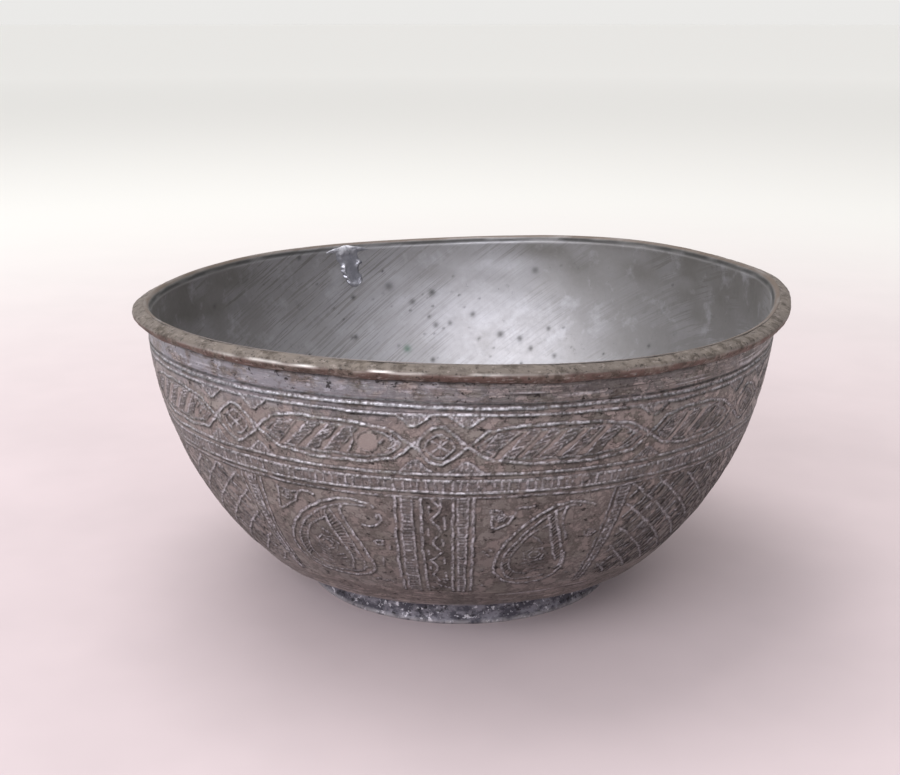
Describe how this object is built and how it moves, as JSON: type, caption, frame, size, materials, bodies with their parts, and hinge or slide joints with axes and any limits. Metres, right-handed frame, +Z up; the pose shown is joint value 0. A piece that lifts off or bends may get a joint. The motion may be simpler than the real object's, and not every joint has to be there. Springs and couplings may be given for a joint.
{
  "type": "shaving bowl",
  "caption": "Round open metal bowl with a rolled wired rim, ring-engraved rounded wall, wiped tin lining and a low soldered foot ring; holds water or lather.",
  "frame": {"origin": "centre of the foot ring on the surface it stands on", "axes": "+Z up along the axis of the bowl, -Y towards the viewer of the engraved column, +X to that viewer's right"},
  "size_m": [0.16, 0.16, 0.0735],
  "materials": {
    "raised_copper": "hammered, engraved and patinated copper, worn tin in the cuts",
    "rim_wire_copper": "drawn wire, oxidised",
    "wiped_tin": "hand-wiped tin, aged grey with wipe streaks and pits",
    "soft_solder": "run soft solder, rough and satin",
    "foot_metal": "tin-washed copper strip, dull blue grey, bright on the worn edge"
  },
  "bodies": {
    "root": {"bowl_shell": "raised_copper", "rim_wire": "rim_wire_copper", "tin_lining": "wiped_tin", "rim_repair_solder": "soft_solder", "foot_ring": "foot_metal", "foot_seam_solder": "soft_solder", "foot_solder_outer": "soft_solder", "foot_solder_inner": "soft_solder"}
  },
  "joints": []
}
